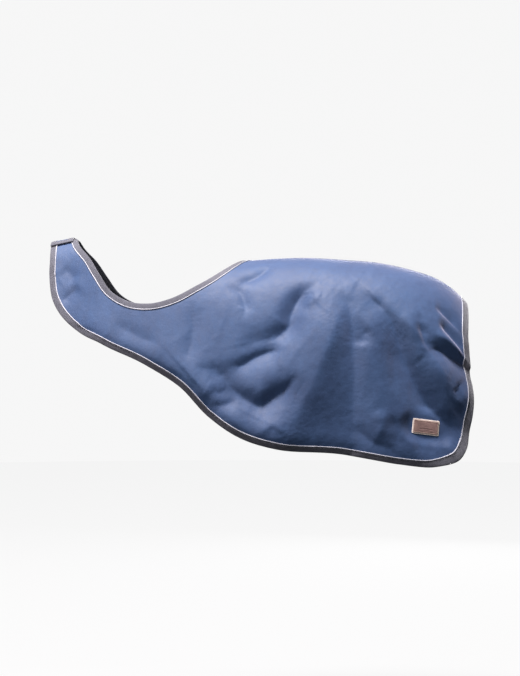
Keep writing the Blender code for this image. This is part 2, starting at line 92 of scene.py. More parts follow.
HEM_EDGE = [
    (-0.640, 0.010), (-0.638, -0.060), (-0.624, -0.130), (-0.585, -0.190), (-0.530, -0.235),
    (-0.460, -0.270), (-0.316, -0.338), (-0.210, -0.404), (-0.116, -0.500), (-0.023, -0.563),
    (0.090, -0.600), (0.296, -0.616), (0.483, -0.648), (0.600, -0.657), (0.665, -0.642),
    (0.700, -0.600), (0.715, -0.530), (0.724, -0.430), (0.717, -0.330), (0.713, -0.250),
    (0.719, -0.185),
]

# ---- fineness of the cloth meshes ----
CLOTH_STEP = 0.0060
EDGE_STEP = 0.0060
SECTION_STEPS = 32


# ---- base surface: the lining's horse-side face, at rest and with no folds ----
def smooth_curve(knots, values, at):
    """A smooth cubic curve through (knots, values), read at the places in at."""
    knots, values, at = (np.asarray(a, float) for a in (knots, values, at))
    slopes = np.gradient(values, knots)
    i = np.clip(np.searchsorted(knots, at) - 1, 0, len(knots) - 2)
    span = knots[i + 1] - knots[i]
    s = (at - knots[i]) / span
    return (
        values[i] * (1 + 2 * s) * (1 - s) ** 2
        + slopes[i] * span * s * (1 - s) ** 2
        + values[i + 1] * s**2 * (3 - 2 * s)
        + slopes[i + 1] * span * s**2 * (s - 1)
    )


def along_back(table, x):
    knots, values = zip(*table)
    return smooth_curve(knots, values, np.clip(x, knots[0], knots[-1]))


def section(x, t):
    """How far the cloth has gone sideways and down at distance t from the spine."""
    rounding = BODY_ROUNDING * along_back(ROUNDING_SHARE, x)
    slope = np.radians(along_back(SIDE_SLOPE, x))
    steps = (np.arange(SECTION_STEPS) + 0.5) / SECTION_STEPS
    run = np.abs(t)[..., None] * steps
    angle = slope[..., None] * (1 - np.exp(-((run / rounding[..., None]) ** ROUNDING_POWER)))
    return np.abs(t) * np.cos(angle).mean(-1), np.abs(t) * np.sin(angle).mean(-1)


def surface(x, t):
    """Points of the base surface.  t is positive on the left side and negative on the right side."""
    out, down = section(x, t)
    return np.stack([x, -np.sign(t) * out, along_back(BACK_HEIGHT, x) - down], axis=-1)


def distance_down(x, z):
    """t of the base surface's points at (x, z), found by halving."""
    low, high = np.zeros_like(x), np.full_like(x, 1.4)
    back = along_back(BACK_HEIGHT, x)
    for _ in range(34):
        middle = (low + high) / 2
        above = back - section(x, middle)[1] > z
        low, high = np.where(above, middle, low), np.where(above, high, middle)
    return (low + high) / 2


def on_surface(outline):
    """(x, z) points as seen from the side, as (x, t)."""
    x, z = np.array(outline, float).T
    return np.stack([x, distance_down(x, z)], axis=1)


def run_along(points):
    """How far along a line of points each one lies."""
    return np.concatenate([[0], np.cumsum(np.linalg.norm(np.diff(np.asarray(points, float), axis=0), axis=1))])


def at_runs(line, run, places):
    """Points of a line of (x, t) points at the given places along its run."""
    return np.stack([np.interp(places, run, line[:, k]) for k in (0, 1)], axis=1)


def fine_curve(points, count=1600):
    """A smooth curve through (x, t) points."""
    points = np.array(points, float)
    chord = run_along(points)
    fine = np.linspace(0, chord[-1], count)
    return np.stack([smooth_curve(chord, points[:, k], fine) for k in (0, 1)], axis=1)


# ---- folds of the cloth ----
def smooth_step(v, low, high):
    s = np.clip((v - low) / (high - low), 0, 1)
    return s * s * (3 - 2 * s)


def soft_noise(u, v, seed):
    """Smooth noise from -1 to 1 over a lattice of side 1."""
    table = np.random.default_rng(seed).uniform(-1, 1, (64, 64))
    iu, iv = np.floor(u).astype(int), np.floor(v).astype(int)
    fu, fv = u - iu, v - iv
    fu, fv = fu * fu * fu * (fu * (6 * fu - 15) + 10), fv * fv * fv * (fv * (6 * fv - 15) + 10)
    a, b = table[iu % 64, iv % 64], table[(iu + 1) % 64, iv % 64]
    c, d = table[iu % 64, (iv + 1) % 64], table[(iu + 1) % 64, (iv + 1) % 64]
    return (a * (1 - fu) + b * fu) * (1 - fv) + (c * (1 - fu) + d * fu) * fv


# Each fold: height in mm, its widths in mm on the upper or left side at its two ends, the same on the lower or
# right side, how much of its height it has at its two ends, and its line as seen from the side, as (x, z) points
# in mm.  Where a line runs to the right, the two sides change places.
LEFT_FOLDS = [
    # the long fold from the hip down to the belly: its crest, and the hollow behind it
    (22, (80, 150), (34, 90), 0.2, 0.5, (325, -125), (300, -170), (285, -210), (265, -270), (240, -330), (210, -400),
     (175, -470), (150, -530), (135, -575)),
    (-15, (34, 110), (30, 44), 0.6, 0.9, (324, -140), (336, -250), (339, -350), (337, -450), (333, -600)),
    # the deep fold over the point of the buttock: its crest, and the dark hollow under it
    (14, (18, 56), (85, 60), 0.3, 0.3, (455, -160), (500, -197), (545, -243), (580, -300), (606, -345), (627, -390),
     (650, -435), (690, -470)),
    (-34, (60, 100), (22, 66), 0.35, 0.5, (428, -148), (462, -195), (484, -250), (502, -310), (528, -370),
     (560, -435), (600, -495), (645, -530), (700, -545)),
    # creases along the rear edge
    (-15, (18, 24), (28, 38), 0.3, 0.3, (552, -200), (560, -240), (573, -280), (588, -303)),
    (-18, (34, 38), (17, 19), 0.4, 0.9, (572, -303), (592, -292), (616, -291), (652, -311), (700, -338)),
    (9, (12, 15), (20, 20), 0.3, 0.6, (598, -243), (640, -262), (680, -298), (702, -322)),
    (-12, (13, 14), (34, 34), 0.0, 0.5, (610, -203), (650, -243), (690, -297)),
    (-9, (13, 14), (34, 36), 0.0, 0.2, (600, -150), (640, -180), (690, -235)),
    (5, (16, 16), (26, 26), 0.0, 0.5, (645, -455), (675, -452), (705, -420)),
    (12, (70, 70), (60, 60), 0.3, 1.0, (625, -600), (665, -615), (700, -610)),
    # soft hollows of the middle panel
    (-8, (40, 40), (34, 34), 0.0, 0.0, (400, -215), (370, -245), (365, -285)),
    (-5, (30, 30), (40, 40), 0.0, 0.3, (475, -270), (468, -340), (462, -430)),
    (-6, (24, 24), (22, 22), 0.0, 0.7, (345, -515), (368, -555), (400, -580), (455, -600)),
    (-6, (26, 26), (34, 34), 0.0, 0.5, (455, -490), (475, -545), (470, -610)),
    (5, (26, 26), (22, 22), 0.0, 0.5, (415, -470), (425, -530), (410, -565)),
    (-7, (26, 26), (22, 22), 0.0, 0.5, (520, -585), (560, -600), (610, -600)),
    # the belly swells a little, so the cloth over it faces up and forwards
    (20, (90, 100), (60, 60), 0.3, 0.7, (210, -590), (100, -575), (20, -550), (-60, -490), (-120, -430)),
    (12, (110, 110), (40, 40), 0.3, 0.5, (-30, -470), (-150, -395), (-300, -310), (-450, -240)),
    # the curved fold from the croup down to the flank, and the folds at the waist
    (-26, (23, 38), (56, 48), 0.1, 0.4, (235, -76), (178, -112), (146, -170), (134, -218), (94, -247), (34, -264)),
    (5, (22, 22), (18, 18), 0.0, 0.0, (250, -110), (210, -135), (190, -160)),
    (-14, (17, 20), (38, 36), 0.0, 0.0, (140, -290), (72, -299), (28, -316), (-13, -340), (-70, -343)),
    (-24, (28, 36), (54, 40), 0.0, 0.6, (184, -366), (126, -414), (87, -444), (50, -466), (-1, -446), (-38, -418),
     (-72, -372)),
    (-5, (14, 14), (30, 30), 0.0, 0.0, (-50, -400), (-80, -427), (-115, -408)),
    (-8, (18, 18), (30, 30), 0.0, 0.2, (-22, -446), (-65, -466), (-110, -468)),
    (-4, (15, 15), (30, 30), 0.0, 0.0, (-75, -345), (-120, -354), (-160, -346)),
    (4, (28, 28), (12, 12), 0.2, 0.0, (130, -562), (108, -538), (87, -528), (60, -541), (30, -562)),
    # behind the saddle
    (-8, (16, 16), (22, 22), 0.0, 0.0, (-70, -88), (-20, -105), (-2, -140), (0, -165), (-30, -174)),
    (-11, (16, 20), (26, 26), 0.4, 0.0, (80, -20), (48, -46), (10, -66), (-35, -82)),
    # the shoulder
    (-6, (16, 16), (26, 26), 0.0, 0.0, (-535, -80), (-560, -105), (-605, -140)),
    (-5, (26, 26), (20, 20), 0.0, 0.0, (-600, -20), (-575, -40), (-545, -75)),
    # under the saddle
    (-7, (22, 22), (30, 30), 0.0, 0.0, (-170, -130), (-165, -210), (-175, -290), (-190, -350)),
    (-6, (26, 26), (34, 34), 0.0, 0.0, (-260, -280), (-350, -245), (-430, -200)),
]
RIGHT_FOLDS = [
    (22, (90, 130), (40, 80), 0.3, 0.5, (290, -130), (245, -230), (225, -330), (205, -450), (170, -555)),
    (-17, (34, 90), (30, 40), 0.0, 0.8, (350, -190), (365, -290), (372, -410), (365, -580)),
    (-22, (55, 55), (28, 28), 0.1, 0.5, (470, -140), (520, -220), (570, -330), (600, -430), (640, -530)),
    (10, (24, 24), (34, 34), 0.1, 0.2, (520, -150), (585, -250), (630, -350), (668, -450)),
    (-10, (24, 24), (14, 14), 0.1, 0.8, (590, -210), (625, -255), (695, -280)),
    (-17, (24, 30), (44, 44), 0.0, 0.0, (200, -80), (130, -130), (90, -190), (30, -250), (-40, -290)),
    (-14, (44, 40), (26, 28), 0.0, 0.0, (-60, -380), (0, -430), (70, -440), (150, -400)),
    (-8, (36, 36), (15, 15), 0.0, 0.0, (-130, -320), (-70, -345), (10, -330)),
    (-7, (26, 26), (22, 22), 0.1, 0.3, (-40, -520), (30, -545), (80, -590)),
    (-6, (34, 34), (34, 34), 0.0, 0.3, (460, -420), (470, -520), (455, -620)),
    (-7, (26, 26), (26, 26), 0.0, 0.0, (-590, -110), (-550, -170), (-480, -220)),
    (5, (26, 26), (30, 30), 0.0, 0.0, (-570, 0), (-555, -70), (-520, -140)),
    (-5, (26, 26), (22, 22), 0.0, 0.0, (-400, -200), (-320, -250), (-260, -320)),
    (18, (60, 60), (100, 110), 0.7, 0.3, (-120, -430), (-60, -490), (30, -553), (120, -578), (210, -590)),
    (-8, (22, 22), (18, 18), 0.0, 0.0, (-80, -95), (-25, -125), (-10, -180)),
    (-9, (40, 40), (16, 16), 0.3, 0.0, (70, -20), (40, -55), (-20, -80)),
]


@functools.lru_cache(maxsize=None)
def fold_line(line):
    """A fold's line as (x, t) points, and its direction at each."""
    curve = fine_curve(on_surface(np.array(line) / 1000), 60)
    ahead = np.gradient(curve, axis=0)
    return curve, ahead / np.linalg.norm(ahead, axis=1, keepdims=True)


def fold_height(x, t, fold):
    """Height of one fold at (x, t), in metres."""
    height, before, after, first, last, *line = fold
    curve, ahead = fold_line(tuple(line))
    reach = 0.0036 * max(*before, *after)
    low, high = curve.min(0) - reach, curve.max(0) + reach
    near = (x > low[0]) & (x < high[0]) & (t > low[1]) & (t < high[1])
    found = np.zeros_like(x)
    if not near.any():
        return found
    apart = np.stack([x[near], t[near]], 1)[:, None] - curve[None]
    far = (apart**2).sum(-1)
    nearest = far.argmin(1)
    pick = np.arange(len(nearest))
    gap = apart[pick, nearest]
    side = ahead[nearest, 0] * gap[:, 1] - ahead[nearest, 1] * gap[:, 0]
    blend = smooth_step(side, -0.006, 0.006)
    along = nearest / (len(curve) - 1)
    before, after = (a + (b - a) * along for a, b in (before, after))
    width = 0.001 * (after * (1 - blend) + before * blend)
    ends = (first + (1 - first) * smooth_step(along, 0, 0.35)) * (last + (1 - last) * smooth_step(1 - along, 0, 0.35))
    found[near] = 0.001 * height * ends * np.exp(-(far[pick, nearest] / width**2) ** 0.75)
    return found


def wrinkles(x, t, seed):
    """Small creases: softly ridged noise, longer down the cloth than along it."""
    u, v = x * 17 + 0.8 * t * 10, t * 9
    u, v = u + 0.9 * soft_noise(x * 6, t * 6, seed + 1), v + 0.9 * soft_noise(x * 6 + 9, t * 6, seed + 2)
    broad = soft_noise(u * 0.5, v * 0.5, seed + 3)
    ridged = 1 - 2 * np.abs(soft_noise(u, v, seed + 4))
    fine = 1 - 2 * np.abs(soft_noise(u * 2.3 + 5, v * 2.1, seed + 5))
    small = soft_noise(x * 75, t * 75, seed + 6)
    return 0.0020 * broad + 0.0005 * ridged + 0.0003 * fine * (0.5 + 0.5 * ridged) + 0.00010 * small


@functools.lru_cache(maxsize=None)
def hem_curve(count=1600):
    """The panel's outer edge, from the crest down the front, along the hem and up to the tail."""
    return fine_curve([(-FRONT_REACH, CREST_GAP), *on_surface(HEM_EDGE), (REAR_REACH, 0.0)], count)


def hem_curl(x, t):
    """The cloth turns inwards near the hem, most of all under the belly."""
    line = hem_curve(500)
    found = np.zeros_like(x)
    below = line[:430]  # as far as the lower rear corner
    near = (x < 0.69) & (t > np.interp(x, below[:, 0], below[:, 1]) - 0.10)
    if near.any():
        apart = np.stack([x[near], t[near]], 1)[:, None] - line[None]
        gap = np.sqrt((apart**2).sum(-1).min(1))
        places, shares = (-0.64, -0.55, -0.25, 0.15, 0.25, 0.55, 0.63), (0.2, 0.6, 0.8, 1.0, 0.75, 0.6, 0.0)
        share = np.interp(x[near], places, shares)
        found[near] = -0.015 * share * np.clip(1 - gap / 0.065, 0, 1) ** 2
    return found


def calm(x, t):
    """0 where the cloth is held flat, at the spine and the closure, and 1 elsewhere."""
    at_spine = 1 - (1 - smooth_step(t, 0.012, 0.060)) * smooth_step(x, -0.03, 0.0)
    closure = np.maximum(smooth_step(t, 0.055, 0.120), smooth_step(x, -0.540, -0.500))
    return at_spine * closure


@functools.lru_cache(maxsize=None)
def badge_distance():
    """How far down the cloth the badge's middle lies."""
    return float(distance_down(np.array([BADGE_X]), np.array([BADGE_Z]))[0])


@functools.lru_cache(maxsize=None)
def badge_level():
    """Height of the cloth under the badge over the base surface."""
    place = np.array([BADGE_X]), np.array([badge_distance()])
    return float(sum(fold_height(*place, line)[0] for line in LEFT_FOLDS)) - 0.005


def folds(x, t):
    """Height of the folded cloth over the base surface.  t is signed."""
    found = np.zeros_like(x)
    for side, lines, seed in ((1, LEFT_FOLDS, 10), (-1, RIGHT_FOLDS, 40)):
        here = t * side > 0
        if not here.any():
            continue
        px, pt = x[here], np.abs(t[here])
        height = sum(fold_height(px, pt, line) for line in lines) + wrinkles(px, pt, seed) + hem_curl(px, pt)
        if side > 0:
            badge_t = badge_distance()
            off = np.hypot((px - BADGE_X) / 0.085, (pt - badge_t + 0.3 * (px - BADGE_X)) / 0.060)
            flat = 1 - smooth_step(off, 0.55, 1.15)
            level = badge_level()
            height = height * (1 - flat) + level * flat
        found[here] = height * calm(px, pt)
    return found


def cloth_frame(x, t):
    """Points of the folded base surface, and its unit normals, which point away from the horse."""
    x, t = np.broadcast_arrays(np.asarray(x, float), np.asarray(t, float))
    shape = x.shape
    key, index = np.unique(np.round(np.stack([x.ravel(), t.ravel()], 1), 7), axis=0, return_inverse=True)
    index = index.ravel()
    kx, kt = key.T
    small, wide = 1e-4, 1.2e-3

    def plain_normals(px, pt):
        across = surface(px, pt + small) - surface(px, pt - small)
        ahead = surface(px + small, pt) - surface(px - small, pt)
        n = np.cross(across, ahead)
        return n / np.linalg.norm(n, axis=-1, keepdims=True)

    def folded(px, pt):
        return surface(px, pt) + plain_normals(px, pt) * folds(px, pt)[:, None]

    middle = folded(kx, kt)
    n = np.cross(folded(kx, kt + wide) - folded(kx, kt - wide), folded(kx + wide, kt) - folded(kx - wide, kt))
    n /= np.linalg.norm(n, axis=-1, keepdims=True)
    return middle[index].reshape(*shape, 3), n[index].reshape(*shape, 3)


def cloth(x, t, height=0.0):
    """Points at a height over the folded base surface, measured along its normal."""
    middle, normal = cloth_frame(x, t)
    return middle + normal * (height + 0 * middle[..., 0])[..., None]


# ---- outline curves ----
def saddle_curve():
    """The saddle opening's edge on one panel, from the crest to the spine."""
    crest = (-FRONT_REACH + CLOSURE_WIDTH, CREST_GAP)
    return fine_curve([crest, *on_surface(SADDLE_EDGE), (-0.003, 0.022), (0.0, 0.0)])


def cut_at(curve, t):
    """The curve's part after it first reaches distance t from the spine."""
    if t <= curve[0, 1]:
        return curve
    after = int(np.argmax(curve[:, 1] > t))
    share = (t - curve[after - 1, 1]) / (curve[after, 1] - curve[after - 1, 1])
    point = curve[after - 1] + share * (curve[after] - curve[after - 1])
    return np.concatenate([[point], curve[after:]])


def paced(curve, step):
    """Points a step apart along a curve, both ends kept, and how far along each lies."""
    run = run_along(curve)
    places = np.linspace(0, run[-1], max(2, round(run[-1] / step) + 1))
    return at_runs(curve, run, places), places


def paced_line(points, step):
    """Points about a step apart along a line with corners."""
    run = run_along(points)
    return at_runs(points, run, np.linspace(0, run[-1], round(run[-1] / step)))


def inset(edge, distance, first, last, side):
    """The edge's stations moved into the cloth.  first and last are the directions at its ends."""
    ahead = np.gradient(edge, axis=0)
    inward = np.stack([-ahead[:, 1], ahead[:, 0]], axis=1) * side
    inward /= np.linalg.norm(inward, axis=1, keepdims=True)
    for place, direction in ((0, first), (-1, last)):
        direction = np.array(direction, float)
        inward[place] = direction / max(0.5, direction @ inward[place])
    return edge + inward * distance


CURVES = {"edge": (hem_curve(), -1, (1, 0), (-1, 0)), "saddle": (saddle_curve(), 1, (-1, 0), (1, 0))}
TONGUE_ENDS = ((CREST_GAP, 1), (FLAP_ROOT, -1))  # where each panel ends at the crest, and its side


def edge_line(name, end, distance, step=EDGE_STEP):
    """Stations of one panel's outer or saddle edge, moved into the cloth by a distance, and their run."""
    curve, side, first, last = CURVES[name]
    stations, run = paced(cut_at(curve, end), step)
    return inset(stations, distance, first, last, side), run


# ---- meshes ----
def new_object(name, points, faces, uv=None, sharp=50):
    mesh = bpy.data.meshes.new(name)
    mesh.from_pydata(np.asarray(points, float).tolist(), [], [list(map(int, f)) for f in faces])
    mesh.polygons.foreach_set("use_smooth", [True] * len(mesh.polygons))
    mesh.set_sharp_from_angle(angle=math.radians(sharp))
    if uv is not None:
        corners = np.empty(len(mesh.loops), np.int32)
        mesh.loops.foreach_get("vertex_index", corners)
        mesh.uv_layers.new(name="cloth").data.foreach_set("uv", np.asarray(uv, np.float32)[corners].ravel())
    obj = bpy.data.objects.new(name, mesh)
    bpy.context.scene.collection.objects.link(obj)
    return obj


def slab(name, flat, triangles, low, high, sign=1, lift=None):
    """A closed layer of cloth over triangles of (x, t) places, between two heights over the base surface."""
    x, t = flat.T
    lifted = 0 if lift is None else lift(sign * t)
    count = len(flat)
    middle, normal = cloth_frame(x, sign * t)
    points = np.concatenate([middle + normal * (h + lifted + 0 * x)[:, None] for h in (high, low)])
    turned = triangles if sign > 0 else triangles[:, ::-1]
    faces = np.concatenate([turned, turned[:, ::-1] + count])
    half = np.concatenate([turned[:, [0, 1]], turned[:, [1, 2]], turned[:, [2, 0]]])
    known = {(a, b) for a, b in half.tolist()}
    walls = [(b, a, a + count, b + count) for a, b in half.tolist() if (b, a) not in known]
    uv = np.concatenate([flat, flat + (0.37, 0.11)])
    return new_object(name, points, faces.tolist() + walls, uv)


def swept(name, rings, run, across):
    """A closed body along rings of points.  Its UVs are the run along it and the way across it."""
    rings = np.asarray(rings, float)
    count, around = rings.shape[:2]
    faces = []
    for i in range(count - 1):
        for k in range(around):
            a, b = i * around + k, i * around + (k + 1) % around
            faces.append((a, b, b + around, a + around))
    caps = [tuple(range(around))[::-1], tuple((count - 1) * around + k for k in range(around))]
    points = rings.reshape(-1, 3)
    probe = np.array([points[list(f)] for f in faces])
    volume = np.einsum("ij,ij->", probe[:, 0], np.cross(probe[:, 1], probe[:, 2]))
    volume += np.einsum("ij,ij->", probe[:, 0], np.cross(probe[:, 2], probe[:, 3]))
    faces += caps
    if volume < 0:
        faces = [f[::-1] for f in faces]
    uv = np.stack(np.broadcast_arrays(np.asarray(run)[:, None], np.asarray(across)[None]), -1).reshape(-1, 2)
    return new_object(name, points, faces, uv)


def inside(loop, points):
    """Which points lie inside a closed loop."""
    found = np.zeros(len(points), bool)
    for (x0, t0), (x1, t1) in zip(loop, np.roll(loop, -1, axis=0)):
        if t0 != t1:
            crosses = (t0 > points[:, 1]) != (t1 > points[:, 1])
            found ^= crosses & (points[:, 0] < x0 + (points[:, 1] - t0) / (t1 - t0) * (x1 - x0))
    return found


def filled(loop, step):
    """Places and triangles that fill a loop, with a lattice of a step inside it."""
    low, high = loop.min(0), loop.max(0)
    rows = np.arange(low[1] - step, high[1] + step, step * 0.866)
    columns = np.arange(low[0], high[0], step)
    grid = np.concatenate([
        np.stack([columns + (k % 2) * step / 2, np.full_like(columns, row)], 1) for k, row in enumerate(rows)
    ])
    grid = grid[inside(loop, grid)]
    tree = KDTree(len(loop))
    for k, (x, t) in enumerate(loop):
        tree.insert((x, t, 0), k)
    tree.balance()
    near = np.array([tree.find((x, t, 0))[2] for x, t in grid])
    points = np.concatenate([loop, grid[near > 0.6 * step]])
    edges = [(k, (k + 1) % len(loop)) for k in range(len(loop))]
    found = delaunay_2d_cdt([Vector(p) for p in points], edges, [], 0, 1e-9)
    places = np.array([points[same[0]] if same else tuple(p) for p, same in zip(found[0], found[3])])
    triangles = np.array(found[2])
    return places, triangles[inside(loop, places[triangles].mean(axis=1))]


def joined(parts):
    """Several (places, triangles) as one, with places that coincide joined, and all turned the same way."""
    places = np.concatenate([p[t].reshape(-1, 2) for p, t in parts])
    places, index = np.unique(np.round(places, 7), axis=0, return_inverse=True)
    triangles = index.reshape(-1, 3)
    a, b, c = (places[triangles[:, k]] for k in range(3))
    area = (b - a)[:, 0] * (c - a)[:, 1] - (b - a)[:, 1] * (c - a)[:, 0]
    triangles = np.where(area[:, None] < 0, triangles[:, ::-1], triangles)
    return places, triangles[np.abs(area) > 1e-12]


def between(outer, inner):
    """Places and triangles between two rows of stations."""
    n = len(outer)
    k = np.arange(n - 1)
    triangles = np.concatenate([np.stack([k, k + 1, k + n + 1], 1), np.stack([k, k + n + 1, k + n], 1)])
    return np.concatenate([outer, inner]), triangles


EDGE_RINGS = (0, 0.006, 0.012, TAPE_WIDTH, PIPED)  # distances from the edge, in metres


def panel_places(end):
    """One panel's (x, t) places and triangles, with its spine edge on the spine plane."""
    rings = {}
    for name in ("saddle", "edge"):
        rings[name] = [edge_line(name, end, n)[0] for n in EDGE_RINGS]
        for ring in rings[name]:
            ring[-1, 1] = SEAM_CLEAR
    first, last = rings["saddle"][-1][-1, 0], rings["edge"][-1][-1, 0]
    spine = np.linspace(first, last, round((last - first) / CLOTH_STEP) + 1)[1:-1]
    spine = np.stack([spine, np.full_like(spine, SEAM_CLEAR)], 1)
    loop = np.concatenate([rings["saddle"][-1], spine, rings["edge"][-1][::-1]])
    strips = [between(a, b) for r in rings.values() for a, b in zip(r[:-1], r[1:])]
    return joined([*strips, filled(loop, CLOTH_STEP)])


def make_panels():
    for side, (end, sign) in zip(("left", "right"), TONGUE_ENDS):
        places, triangles = panel_places(end)
        lining = slab("rug_lining_" + side, places, triangles, 0, LINING_THICK, sign)
        shell = slab("rug_shell_" + side, places, triangles, LINING_THICK + GAP, STACK, sign)
        finish_piece(lining, "lining_cloth", "lining_" + side)
        finish_piece(shell, "outer_cloth", "shell_" + side)


# ---- trims ----
OUT, UNDER = TAPE_TOP, -GAP - TAPE_THICK
BINDING_PROFILE = [
    (TAPE_WIDTH, ON_SHELL), (TAPE_WIDTH + 0.0001, OUT - 0.0003), (TAPE_WIDTH - 0.0005, OUT),
    (0.0120, OUT + 0.0002), (0.0060, OUT + 0.0002), (0.0015, OUT + 0.0001), (-0.0004, OUT - 0.0003),
    (-0.0010, OUT - 0.0012), (-0.0011, 0.0010), (-0.0010, UNDER + 0.0010), (-0.0004, UNDER + 0.0003),
    (0.0015, UNDER), (TAPE_WIDTH - 0.0005, UNDER), (TAPE_WIDTH, UNDER + 0.0003), (TAPE_WIDTH, -GAP),
    (0.0010, -GAP), (-0.0002, 0.0), (-0.0002, STACK), (0.0010, ON_SHELL),
]


def bead(distance, width, height, sides=10):
    """A round-topped cord's profile: (distance, height) over the shell."""
    turns = np.arange(sides) * 2 * math.pi / sides
    w, h = width / 2, height / 2
    return [(distance + w + w * math.cos(a), ON_SHELL + h + h * math.sin(a)) for a in turns]


def trim(name, curve_name, profile):
    """A trim along an edge from the left tongue, over the spine, to the right tongue."""
    rings, runs = [], []
    for end, sign in TONGUE_ENDS:
        lines = [edge_line(curve_name, end, distance) for distance, height in profile]
        x, t = (np.stack([line[:, k] for line, run in lines], 1) for k in (0, 1))
        middle, normal = cloth_frame(x, sign * t)
        rings.append(middle + normal * np.array([height for distance, height in profile])[:, None])
        runs.append(lines[0][1])
    both = np.concatenate([rings[0], rings[1][::-1][1:]])
    run = np.concatenate([runs[0], runs[0][-1] + (runs[1][-1] - runs[1][::-1])[1:]])
    return swept(name, both, run, run_along(profile))


STITCH_SHARES = np.array([-0.5, -0.42, -0.2, 0.2, 0.42, 0.5])
STITCH_RISE = np.array([-0.9, 0.0, 0.55, 0.55, 0.0, -0.9])


def stitch_rows(name, rows, slot_name, length=0.0036, pitch=0.0052, radius=0.00042, material="thread", body="rug"):
    """Running stitches.  Each row is (line of (x, t) with its sign, height, outward 1 or inward -1, lift)."""
    blocks, faces = [], []
    for line, height, out, lift in rows:
        run = run_along(line)
        at = np.arange(pitch, run[-1] - pitch, pitch)[:, None] + STITCH_SHARES * length
        x, t = (np.interp(at, run, line[:, k]) for k in (0, 1))
        middle, normal = cloth_frame(x, t)
        lifted = 0 if lift is None else lift(t)
        centre = middle + normal * (height + out * radius * STITCH_RISE + lifted)[..., None]
        ahead = np.gradient(centre, axis=1)
        ahead /= np.linalg.norm(ahead, axis=-1, keepdims=True)
        side = np.cross(ahead, normal)
        turns = [k * math.pi / 3 for k in range(6)]
        corners = [centre + radius * (math.cos(a) * side + math.sin(a) * normal) for a in turns]
        blocks.append(np.stack(corners, axis=2).reshape(-1, 3))
    points = np.concatenate(blocks)
    for base in range(0, len(points), 36):  # a stitch: six stations of six corners
        for j in range(0, 30, 6):
            for k in range(6):
                a, b = base + j + k, base + j + (k + 1) % 6
                faces.append((a, a + 6, b + 6, b))
        faces += [tuple(base + k for k in range(6)), tuple(base + 35 - k for k in range(6))]
    obj = new_object(name, points, faces, sharp=80)
    return finish_piece(obj, slot_name, material=material, body=body)


def make_trims():
    for name in ("edge", "saddle"):
        finish_piece(trim("rug_" + name + "_binding", name, BINDING_PROFILE), "binding_webbing", name + "_binding")
        piping = trim("rug_" + name + "_piping", name, bead(TAPE_WIDTH + GAP, PIPING_WIDTH, PIPING_HEIGHT))
        finish_piece(piping, "reflective_piping", name + "_piping")
        rows = []
        for end, sign in TONGUE_ENDS:
            line = edge_line(name, end, TAPE_WIDTH - SEAM_INSET)[0] * (1, sign)
            rows += [(line, OUT + 0.0001, 1, None), (line, UNDER - 0.0001, -1, None)]
        stitch_rows("rug_" + name + "_stitching", rows, "binding_webbing")


def make_spine():
    """The tape over the spine seam, the tape under it, and the rows of stitches through both."""
    clear = PIPED + 0.0025
    x = np.linspace(clear, REAR_REACH - clear, 110)
    spread = np.linspace(-1, 1, 9) * SPINE_TAPE_HALF
    crown = 0.0003 * np.exp(-((spread / 0.002) ** 2))
    for name, node, low, high, slot_name in (
        ("rug_spine_tape", "spine_tape", ON_SHELL, TAPE_TOP, "outer_cloth"),
        ("rug_seam_tape", "seam_tape", UNDER, -GAP, "lining_cloth"),
    ):
        out = low > 0
        top = [(t, high + c * out) for t, c in zip(spread, crown)]
        bottom = [(t, low - c * (not out)) for t, c in zip(spread[::-1], crown)]
        profile = top + bottom
        rings = np.stack([cloth(x, np.full_like(x, t), h) for t, h in profile], axis=1)
        tape = swept(name, rings, x, run_along(profile))
        finish_piece(tape, slot_name, node, material="spine webbing" if out else "seam webbing")
    inner = np.linspace(clear + 0.002, REAR_REACH - clear - 0.002, 200)
    rows = []
    for t in (-SPINE_TAPE_HALF + 0.0018, SPINE_TAPE_HALF - 0.0018):
        line = np.stack([inner, np.full_like(inner, t)], 1)
        rows += [(line, TAPE_TOP, 1, None), (line, UNDER, -1, None)]
    stitch_rows("rug_spine_stitching", rows, "outer_cloth", material="navy thread")


def flap_lift(t):
    """Height of the flap above its base surface: it rises from the right panel onto the left tongue."""
    share = np.clip((FLAP_ROOT - SEAM_CLEAR + np.asarray(t)) / (FLAP_ROOT + 0.003), 0, 1)
    return FLAP_LIFT * share * share * (3 - 2 * share)


def flap_line(distance):
    """The flap's edge moved inwards, from the hinge round the tip and back, as (x, signed t) stations."""
    front, root = -FRONT_REACH, -FLAP_ROOT + SEAM_CLEAR
    rear_root = cut_at(CURVES["saddle"][0], FLAP_ROOT)[0, 0]
    rear_tip = front + CLOSURE_WIDTH - FLAP_TAPER
    rows = np.array([root, -0.023, -0.012, -0.004, FLAP_OVERLAP - distance])
    rear = np.array([rear_root + (rear_tip - rear_root) * min(1, (t - root) / 0.030) for t in rows])
    front_side = np.stack([np.full_like(rows, front + distance), rows], 1)
    rear_side = np.stack([rear - distance, rows], 1)[::-1]
    tip = np.stack([front_side[-1], rear_side[0]])
    sides = []
    for side, count in ((front_side, 28), (tip, 24), (rear_side, 28)):
        run = run_along(side)
        sides.append(at_runs(side, run, np.linspace(0, run[-1], count)))
    return np.concatenate([sides[0], sides[1][1:], sides[2][1:]])


